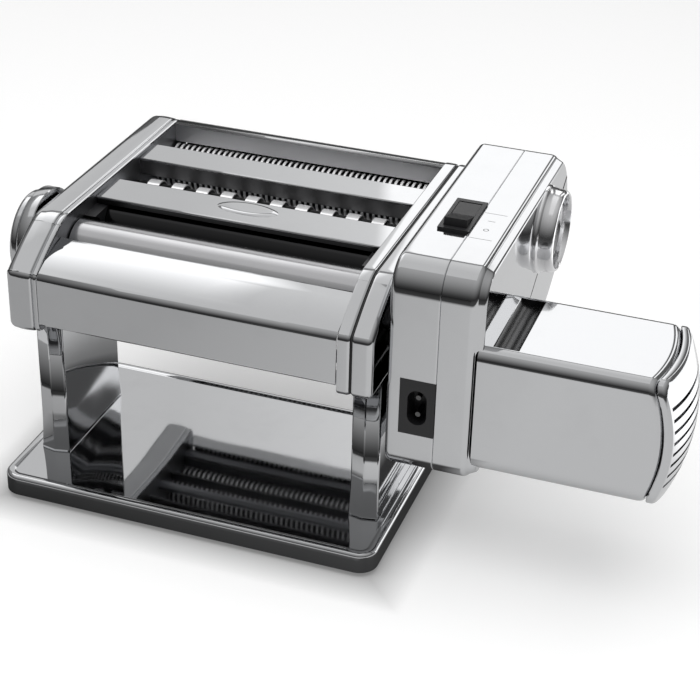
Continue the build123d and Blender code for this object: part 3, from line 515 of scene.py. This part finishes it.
# %% Legs
def post(x, low, high):
    """Five corners with small rounds. The share s falls smoothly from 1 at the tray to 0 at the knee. It adds
    s / 2 to the half width and s to the reach to the front and to the back."""
    share = np.array([1.0, 1.0, 0.62, 0.32, 0.10, 0.0, 0.0])
    height = np.array([low, low + 1.0, low + 5.0, low + 10.0, low + 15.0, low + 20.0, high])
    rows = []
    for s in share:
        half, front, back = 7 + s / 2, -28 - s, 30 + s
        corners = [(x - half, back, 1.2), (x - half, front, 1.2), (x, front - 1.6, 2.0),
                   (x + half, front, 1.2), (x + half, back, 1.2)]
        rows.append(outline_rings(corners, 0.0, 5)[0])
    ring = np.array(rows)
    points = np.concatenate([ring, np.broadcast_to(height[:, None, None], ring.shape[:2] + (1,))], 2)
    columns = ring.shape[1]
    faces = grid_faces(*ring.shape[:2]).tolist()
    return points, faces + [list(range(columns))[::-1], list(range(6 * columns, 7 * columns))]


finished("left_leg_surface", [post(-81.0, 12.0, 88.0)], ["left_leg"], bevel=0)
finished("right_leg_surface", [post(80.4, 12.0, 88.0)], ["right_leg"], bevel=0)

# %% [markdown]
# The cheeks share one side view: an upright front, a crease, a slope that runs up to the crest, a nearly flat
# top and a round back. The left cheek is a deep pressing with a generous rounded edge; on the right a flat
# cheek, a black seal and the gear cover lie side by side.

# %% Cheeks, seal and gear cover
side_view = [(-48, 88, 4), (124, 88, 4), (124, 134.34, 13), (-16.66, 136.04, 24), (-34.74, 127.68, 170),
             (-48, 118.5, 4)]
crown = [(0.5 * ((x + 84.0) / 6.0) ** 2, x) for x in np.linspace(-83.0, -78.4, 6)]
left_section = [*quarter(4.0, 0.3, -87.5, -1, 8, True), (0.05, -85.2), (0.0, -84.0), *crown, (1.5, -78.1),
                (1.7, -77.8), (1.4, -77.5), (0.75, -77.35), (0.6, -77.1), (0.6, -76.3), (0.8, -75.6),
                (1.2, -75.0), (1.2, -90.0)]
right_section = [(1.2, 72.0), (0.5, 72.0), (0.15, 72.15), (0.0, 72.5), (0.0, 76.4), (0.15, 77.2), (0.5, 77.8),
                 (1.2, 78.0)]
seal_section = [(2.4, 78.0), (0.8, 78.0), (0.8, 79.0), (2.4, 79.0)]
cover_section = [(1.2, 80.0), (1.2, 79.0), (0.6, 79.0), (0.2, 79.3), (0.0, 80.0), (0.0, 85.5),
                 *quarter(3.0, 0.0, 85.5, 1)[1:]]
finished("left_cheek_surface", [carried(side_view, left_section, "x", 10)], ["left_cheek"], bevel=0)
finished("right_cheek_surface", [carried(side_view, right_section, "x", 10)], ["right_cheek"], bevel=0.4)
finished("seal_surface", [carried(side_view, seal_section, "x", 10)], ["cover_seal"], bevel=0.2)
finished("gear_cover_surface", [carried(side_view, cover_section, "x", 10)], ["gear_cover"], bevel=0.3)

# %% [markdown]
# Between the cheeks lie folded sheets: apron and hood from one piece with a crease, two narrow plates with
# turned-down edges, and the cover over the back. Each is a path with bends and a thickness, carried from
# cheek to cheek.

# %% Sheets between the cheeks
INSIDE = [(0.0, -74.6), (0.0, 71.6)]
SHEET = 1.2


def sheet_piece(path):
    """A sheet from cheek to cheek. Its path is read backwards, which puts the thickness inside the bends."""
    return carried(folded_sheet(path[::-1], SHEET), INSIDE)


def raised_pad(centre, half_length, half_depth, rise):
    """A shallow oval: its height is rise * (1 - s^8), with s the share of the way from the middle to the
    rim."""
    share, angle = np.linspace(0, 1, 25)[:, None], np.arange(72) * 2 * math.pi / 72
    points = np.stack([centre[0] + half_length * share * np.cos(angle),
                       centre[1] + half_depth * share * np.sin(angle),
                       centre[2] + rise * (1 - share ** 8) + 0 * angle], -1)
    return points, grid_faces(25, 72)[:, ::-1].tolist()


hood_path = [(-36, 93, 1), (-48, 93, 1.6), (-48, 118.5, 4.5), (-35.5, 124.6, 60), (-21.5, 127.2, 1.8),
             (-18.6, 124.8, 1)]
back_path = [(109, 123.6, 1), (109, 134.1, 1.6), (124, 134.1, 13), (124, 93, 1.6), (114, 93, 1)]
rear_path = [(64.5, 123.4, 1), (64.5, 132, 0.9), (84.5, 132, 1.2), (84.5, 129, 1)]
front_path = [(15.5, 128.6, 1), (15.5, 132, 0.9), (39, 132, 1.2), (39, 129, 1)]
finished("hood_surface", [sheet_piece(hood_path)], ["front_panel"], bevel=0)
finished("back_surface", [sheet_piece(back_path)], ["back_panel"], bevel=0, finish="back_panel_steel")
finished("rear_plate_surface", [sheet_piece(rear_path)], ["rear_plate"], bevel=0, finish="rear_plate_steel")
pad = raised_pad((-1.5, 29.75, 132.0), 15.5, 6.5, 1.0)
finished("front_plate_surface", [sheet_piece(front_path), pad], ["front_plate"], bevel=0,
         finish="front_plate_steel")

# %% [markdown]
# The smooth rollers are ground and polished tubes. The cutters are stacks of square rings whose facing rings
# run in each other's grooves, eleven wide ones and forty-eight narrow ones on each shaft.

# %% Rollers and cutters
ROLLER = [(-78.4, 5.0), (-74.6, 5.0), (-74.6, 12.6), (-74.2, 13.0), (71.2, 13.0), (71.6, 12.6), (71.6, 5.0),
          (74.8, 5.0)]
# The rear roller takes the near-black shaded_roller finish as painted shade, since it lies under the rear
# plate's edge where little light falls.
for node, y, finish in (("front_roller", -4.9, None), ("rear_roller", 23.7, "shaded_roller")):
    tube = turned(ROLLER, (y, 115.5), "x", 96)
    finished(node + "_surface", [tube], [node], bevel=0, sharp=30, finish=finish)

LEFT_END, RIGHT_END, CUTTER_Z = -74.5, 71.5, 114.1
HUB, CORE, CREST = 4.0, 6.7, 8.5
CLEARANCE, EDGE = 0.24, 0.04


def ring_stack(rings, odd, y, sides, half_back):
    """Square rings on a core: within each pitch the radius is the crest over the land and the core between.
    The odd stack starts one land later, so its rings face the other's grooves. half_back moves a stack back
    half a land."""
    land = (RIGHT_END - LEFT_END) / (2 * rings)
    start = LEFT_END + land * (2 * np.arange(rings) + odd) + CLEARANCE / 2
    if half_back:
        start = start - land / 2
    end = start + land - CLEARANCE
    start, end = np.clip(start, LEFT_END, RIGHT_END), np.clip(end, LEFT_END, RIGHT_END)
    along = np.stack([start, start + EDGE, end - EDGE, end], 1).ravel()
    radius = np.tile([CORE, CREST, CREST, CORE], rings)
    along = np.concatenate([[LEFT_END, LEFT_END], along, [RIGHT_END, RIGHT_END]])
    radius = np.concatenate([[HUB, CORE], radius, [CORE, HUB]])
    return turned(np.stack([along, radius], 1), (y, CUTTER_Z), "x", sides)


for kind, rings, places, sides in (("wide", 11, (45.8, 61.2), 72), ("narrow", 48, (92.6, 108.0), 48)):
    for odd, (end, y) in enumerate(zip(("front", "rear"), places)):
        stack = ring_stack(rings, odd, y, sides, kind == "narrow")
        finished(f"{kind}_{end}_rings", [stack], [f"{kind}_{end}_cutter"], bevel=0, sharp=30,
                 finish="cutter_steel")

# %% [markdown]
# The thickness dial is turned from solid metal: a wide skirt next to the cheek, a groove, and a narrower grip
# with a flat face.

# %% Dial
dial_profile = [(-104.3, 0.0), (-104.3, 15.5), (-104.3, 20.6), (-103.9, 21.6), (-103.0, 22.2), (-102.2, 22.3),
                (-100.7, 22.3), (-100.6, 20.8), (-99.4, 20.8), (-99.4, 23.6), (-99.1, 24.3), (-98.4, 24.8),
                (-93.3, 24.8), (-92.9, 24.4), (-92.9, 4.0)]
dial = turned(dial_profile, (2.0, 112.5), "x", 96, (True, False))
finished("dial_surface", [dial], ["thickness_dial"], bevel=0, sharp=40)

# %% [markdown]
# The motor unit's gearbox is a plated shell in two halves. Both halves follow one outline with a flat top, a
# round back and a slanting underside. The left half has a rounded edge and openings for the switch and the
# inlet, the right half a chamfer, and the line where they meet is a fine groove.

# %% Gearbox
SWITCH_Y, INLET_Z = 17.8, 83.8
case_back = arc_corners((88.2, 79.95), (119.6, 117.5), (106.0, 151.2), 7)
case_view = [(-38, 49, 9), (22, 49, 14), *case_back, (102.0, 153.5, 7.0),
             (SWITCH_Y + 15.1, 153.5, 0), (SWITCH_Y - 15.1, 153.5, 0), (-38, 153.5, 14.5),
             (-38, INLET_Z + 14.25, 0), (-38, INLET_Z - 14.25, 0)]
inner_section = [*quarter(3.0, 0.0, 95.0, -1, 6, True), (0.0, 98.6), (0.0, 101.8), (0.0, 114.3), (0.0, 115.0),
                 (0.3, 115.3), (2.5, 115.3)]
case_cut = [((101.9, SWITCH_Y - 15, 150), (114.2, SWITCH_Y + 15, 156)),
            ((98.7, -39, INLET_Z - 14.2), (115.6, -37, INLET_Z + 14.2))]
case_inner = carried(case_view, inner_section, "x", 14, cut=case_cut)
finished("case_inner_surface", [case_inner], ["motor_case_inner"], bevel=0)

# %% [markdown]
# The barrel grows out of the right half. Its end bulges like the side of a cask, round in plan and round in
# side view, and the end cap repeats that curve across a narrow gap. A finger groove with end walls crosses
# its top.

# %% Barrel
BARREL_TOP, MOTOR_Y, MOTOR_Z = 119.0, -8.0, 87.0
BARREL = [(-38, 55, 10), (22, 55, 10), (22, BARREL_TOP, 6), (-38, BARREL_TOP, 6)]


def cask(y, z, tip, plan_radius, side_radius):
    """x of a cask's side: a circle of side_radius in side view, turned about an upright axis at plan_radius
    from the tip. The stave's reach is plan - side + sqrt(side^2 - z^2), and x is sqrt(reach^2 - y^2) from the
    axis."""
    reach = plan_radius - side_radius + np.sqrt(side_radius ** 2 - (z - MOTOR_Z) ** 2)
    return tip - plan_radius + np.sqrt(reach ** 2 - (y - MOTOR_Y) ** 2)


SPLIT, OUTSIDE = (221.2, 98.0, 80.0), (226.0, 84.0, 80.0)
GROOVE_X, GROOVE_R, GROOVE_D, GROOVE_REACH = 144.1, 7.5, 2.8, 24.0
groove_half = math.sqrt(GROOVE_R ** 2 - (GROOVE_R - GROOVE_D) ** 2)
END_ROUND = np.array([(-3.6, 0.0), (-2.2, 0.2), (-1.1, 0.6), (-0.3, 1.3), (0.0, 2.4)])


def barrel_wall():
    """The barrel's outline in rows: upright rows up to the groove, over it and on to the curved parting. The
    rows of END_ROUND, as (x from the parting, inset), round its end."""
    rows = np.array([133.0, GROOVE_X - groove_half, GROOVE_X + groove_half, 170.0])
    outline = divided(BARREL, 12)
    ring = outline_rings(outline, 0.0, 12)[0]
    parting = cask(ring[:, 0], ring[:, 1], *SPLIT)
    x = np.vstack([np.broadcast_to(rows[:, None], (4, len(ring))), parting + END_ROUND[:, :1]])
    rings = outline_rings(outline, [0, 0, 0, 0, *END_ROUND[:, 1]], 12)
    points = np.concatenate([x[..., None], rings], 2)
    faces = grid_faces(*x.shape)
    middle = points.reshape(-1, 3)[faces].mean(1)
    over = (abs(middle[:, 0] - GROOVE_X) < groove_half - 0.1) & (middle[:, 2] > BARREL_TOP - 0.01)
    over &= abs(middle[:, 1] - MOTOR_Y) < GROOVE_REACH - 0.1
    columns = x.shape[1]
    return points, faces[~over].tolist() + [list(range(8 * columns, 9 * columns))]


def groove():
    """The groove's floor is a shallow arc across x; two flat end walls close it."""
    half = math.asin(groove_half / GROOVE_R)
    angle = np.linspace(-half, half, 17)
    x = GROOVE_X + GROOVE_R * np.sin(angle)
    z = BARREL_TOP + GROOVE_R - GROOVE_D - GROOVE_R * np.cos(angle)
    ends = MOTOR_Y + np.array([[-GROOVE_REACH], [GROOVE_REACH]])
    points = np.stack(np.broadcast_arrays(x, ends, z), -1)
    faces = grid_faces(2, 17, closed=False)[:, ::-1].tolist()
    return points, faces + [list(range(17)), list(range(17, 34))[::-1]]


outer_view = [corner for corner in case_view if corner[2] > 0]
outer_section = [(2.5, 115.3), (0.3, 115.3), (0.0, 115.6), (0.0, 128.2), (0.1, 129.2), (0.35, 130.1),
                 (0.8, 130.9), (1.35, 131.4), (1.5, 131.6), (2.7, 134.0), (3.0, 134.6), (3.5, 135.0)]
finished("case_outer_surface", [carried(outer_view, outer_section, "x", 14), barrel_wall(), groove()],
         ["motor_case_outer"], bevel=0.3, finish="barrel_plating")

# %% [markdown]
# The end cap is a height field: x depends on y and z. Every row of the grid is one horizontal chord of the
# outline, so the louvres, which are horizontal slots, fall exactly on rows. Near the outline x drops along a
# quarter circle, which rounds the edge, and a wall follows the outline back to the parting.

# %% End cap with louvres
CAP_ROUND, CAP_DEPTH, LOUVRE_REACH = 1.5, 1.9, 27.5
LOUVRE_Z = 107.0 - 5.6 * np.arange(8)


def chord(z):
    """Half length of the outline's horizontal chord at z, which its corner circles of radius 6 and 10
    shorten."""
    drop_top = np.clip(z - 113, 0, 6 - 1e-6)
    drop_low = np.clip(65 - z, 0, 10 - 1e-6)
    return 30.0 - np.maximum(6 - np.sqrt(36 - drop_top ** 2), 10 - np.sqrt(100 - drop_low ** 2))


def end_cap():
    """The cap's face as one grid and its wall as four rows, the last of which closes behind the barrel's
    end."""
    foot, crest = np.linspace(0, math.pi / 2, 13), np.linspace(0, math.pi / 2, 10)[1:]
    z_base = np.concatenate([55 + 10 * (1 - np.cos(foot)), np.linspace(65, 113, 25)[1:],
                             113 + 6 * np.sin(crest)])
    z_slots = (LOUVRE_Z[:, None] + np.array([-0.86, -0.80, -0.74, 0.74, 0.80, 0.86])).ravel()
    keep = (abs(z_base[:, None] - LOUVRE_Z) > 1.3).all(1)
    z = np.sort(np.concatenate([z_base[keep], z_slots]))
    share = np.sin(np.linspace(-math.pi / 2, math.pi / 2, 61))
    slot_ends, beside = np.array([-27.55, -27.45, 27.45, 27.55]), [7, 8, 52, 53]
    y_off = chord(z)[:, None] * share
    full = (chord(z) > 29)[:, None]
    y_off[:, beside] = np.where(full, slot_ends, y_off[:, beside])
    y = MOTOR_Y + y_off
    zz = np.broadcast_to(z[:, None], y.shape)
    side = 30.0 - abs(y_off)
    corner_top = 6 - np.hypot(np.maximum(6 - side, 0), np.maximum(zz - 113, 0))
    corner_low = 10 - np.hypot(np.maximum(10 - side, 0), np.maximum(65 - zz, 0))
    inner_top = np.where((side < 6) & (zz > 113), corner_top, np.minimum(side, 119 - zz))
    depth = np.where((side < 10) & (zz < 65), corner_low, np.minimum(inner_top, zz - 55)).clip(0)
    rounded = CAP_ROUND - np.sqrt(CAP_ROUND ** 2 - (CAP_ROUND - np.minimum(depth, CAP_ROUND)) ** 2)
    in_slot = (abs(zz[:, :, None] - LOUVRE_Z) < 0.81).any(-1) & (abs(y_off) < LOUVRE_REACH)
    x = cask(y, zz, *OUTSIDE) - rounded - CAP_DEPTH * in_slot
    rows, columns = y.shape
    grid = np.stack([x, y, zz], -1)
    rim = np.concatenate([grid[0, :-1], grid[:-1, -1], grid[-1, :0:-1], grid[:0:-1, 0]])
    parting = cask(rim[:, 1], rim[:, 2], *SPLIT) + 0.35
    wall = np.stack([rim, np.column_stack([parting + 0.4, rim[:, 1:]]),
                     np.column_stack([parting, rim[:, 1:]])])
    centre = np.array([MOTOR_Y, MOTOR_Z])
    wall[2, :, 1:] = centre + (wall[2, :, 1:] - centre) * 0.99
    wall = np.concatenate([wall, wall[2:]])
    wall[3, :, 1:] = centre + (wall[3, :, 1:] - centre) * 0.93
    n = len(rim)
    return [(grid, grid_faces(rows, columns, closed=False).tolist()),
            (wall, grid_faces(4, n)[:, ::-1].tolist() + [list(range(3 * n, 4 * n))[::-1]])]


finished("end_cap_surface", end_cap(), ["motor_end_cap"], bevel=0, sharp=34)

# %% [markdown]
# A round cover closes the gearbox where the last shaft ends. It is turned: a low flange, a barrel, a flat
# ring and a dish.

# %% Round cover
BOSS = (68.2, 129.5)
shoulder = [(140.2 + 3.8 * math.sin(a), 18.3 + 1.8 * math.cos(a)) for a in np.linspace(0.2, math.pi / 2, 7)]
boss_profile = [(134.8, 21.5), (136.0, 21.5), (136.3, 21.3), (136.8, 20.8), (137.1, 20.55), (140.2, 20.1),
                *shoulder, (143.9, 18.0), (143.4, 17.75), (139.4, 17.6), (139.0, 17.0), (139.0, 0.0)]
boss = turned(boss_profile, BOSS, "x", 96)
finished("boss_surface", [boss], ["boss_cover"], bevel=0, sharp=34, finish="satin_nickel")

# %% [markdown]
# The machine stands on a white table in a white studio. The lamps are large and soft. What the metal mirrors
# matters more than what lights it, so the surroundings have a plan: a card overhead that glows most at the
# back left, a card behind with a dark gap right of the machine, a low card further right, and a sky that
# darkens towards the horizon, which draws the black edges.

# %% Table
def rays(tree):
    path = tree.nodes.new("ShaderNodeLightPath")
    kinds = ("Camera", "Glossy", "Transmission")
    return {kind: Value(tree, path.outputs[f"Is {kind} Ray"]) for kind in kinds}


def ramp_of(value, start, end):
    """0 up to start, 1 from end on, and an even climb between."""
    return ((value - start) / (end - start)).clamp()


WHITE = (1.0, 1.0, 1.0, 1.0)
table_white = Finish("table_white", roughness=0.9, specular_ior_level=0.0, emission_color=WHITE)
table_x, table_y = table_white.along(0), table_white.along(1)
# The table carries a painted shadow round the tray, which the camera sees darker. What the metal mirrors of
# it is painted too: a dark contact shade round the tray, darker far in front, and a painted glow that grows
# to the right, with a bright patch at the back right.
from_tray = (abs(table_x) - 0.0955).at_least(abs(table_y) - 0.0595)
contact = ramp_of(from_tray, 0.012, 0.032) * 0.86 + 0.14
near = (ramp_of(table_y, -0.42, -0.29) * 0.9 + 0.1) * contact
lit = ramp_of(table_x, -0.10, 0.13) * 0.28
lit = lit + ramp_of(table_x, 0.24, 0.31) * ramp_of(table_y, 0.02, 0.10) * 1.1
shadow = ramp_of(from_tray, -0.001, 0.02) * 0.5 + 0.5
ray = rays(table_white.tree)
mirrored = ray["Glossy"] + ray["Transmission"]
shade = (1.0 - mirrored * (1.0 - near * 0.72)) * shadow * 0.70
table_white.set(base_color=table_white.node("CombineColor", Red=shade, Green=shade, Blue=shade),
                emission_strength=ray["Camera"] * shadow * 0.36 + mirrored * near * lit)
bpy.ops.mesh.primitive_plane_add(size=8.0)
table = bpy.context.object
table.name = "table"
table.data.materials.append(table_white.material)


# %% Cards that only the metal sees
FRONT_GLOW = 0.80


def card(name, corners, stops, soft_front=None):
    """A glowing sheet through four corners in metres. It is hidden from the camera, and it lights nothing.
    The stops (x, strength) give how it glows from left to right. Between the y values of soft_front, from
    back to front, its glow goes to FRONT_GLOW."""
    paper = Finish(name, base_color=(0.0, 0.0, 0.0, 1.0), roughness=1.0, specular_ior_level=0.0,
                   emission_color=WHITE)
    x = paper.along(0)
    glow = stops[0][1]
    for (x0, low), (x1, high) in zip(stops, stops[1:]):
        glow = ramp_of(x, x0, x1) * (high - low) + glow
    if soft_front:
        glow = (glow - FRONT_GLOW) * ramp_of(paper.along(1), *soft_front) + FRONT_GLOW
    paper.set(emission_strength=glow)
    mesh = bpy.data.meshes.new(name)
    mesh.from_pydata(corners, [], [(0, 1, 2, 3)])
    mesh.materials.append(paper.material)
    sheet = bpy.data.objects.new(name, mesh)
    bpy.context.scene.collection.objects.link(sheet)
    sheet.visible_camera = sheet.visible_diffuse = sheet.visible_shadow = False


card("overhead_card", [(-1.2, -0.45, 1.3), (0.3, -0.45, 1.3), (0.3, 1.1, 1.3), (-1.2, 1.1, 1.3)],
     [(-0.44, 1.75), (-0.30, 0.98), (-0.14, 0.95)], (0.05, 0.75))
card("back_card", [(-1.2, 0.86, 0.40), (1.4, 0.86, 0.40), (1.4, 0.86, 0.84), (-1.2, 0.86, 0.84)],
     [(-0.42, 0.78), (-0.195, 0.98), (-0.18, 1.6), (0.12, 1.6), (0.18, 0.15), (0.25, 0.15), (0.29, 1.6),
      (0.385, 1.6), (0.40, 0.15)])
card("right_card", [(0.42, 0.87, 0.0), (2.0, 0.87, 0.0), (2.0, 0.87, 0.84), (0.42, 0.87, 0.84)],
     [(0.45, 0.3), (0.55, 1.7)])


# %% Lamps
def soft_lamp(name, spot, target, size, power):
    data = bpy.data.lights.new(name, "AREA")
    data.shape, data.size, data.size_y, data.energy = "RECTANGLE", size[0], size[1], power
    lamp = bpy.data.objects.new(name, data)
    bpy.context.scene.collection.objects.link(lamp)
    lamp.location = spot
    lamp.rotation_mode = "QUATERNION"
    lamp.rotation_quaternion = Vector(np.array(target) - np.array(spot)).to_track_quat("-Z", "Y")
    lamp.visible_glossy = False


soft_lamp("overhead_lamp", (0.1, -0.1, 1.4), (0.05, 0.0, 0.1), (1.8, 1.6), 18.0)
soft_lamp("left_lamp", (-1.3, -0.9, 0.9), (0.0, 0.0, 0.1), (0.9, 0.9), 4.0)

# %% World
world = bpy.data.worlds.new("studio")
bpy.context.scene.world = world
world.use_nodes = True
sky = world.node_tree
ray = rays(sky)
heading = sky.nodes.new("ShaderNodeTexCoord")
parted = sky.nodes.new("ShaderNodeSeparateXYZ")
sky.links.new(heading.outputs["Generated"], parted.inputs[0])
height = Value(sky, parted.outputs[2]).clamp()
mirrored = ray["Glossy"] + ray["Transmission"]
strength = ray["Camera"] + mirrored * (height ** 1.3 * 0.58 + 0.04) + (1.0 - ray["Camera"] - mirrored) * 0.35
connect(sky, strength, sky.nodes["Background"].inputs["Strength"])
sky.nodes["Background"].inputs["Color"].default_value = WHITE
bpy.context.scene.view_settings.view_transform = "Standard"
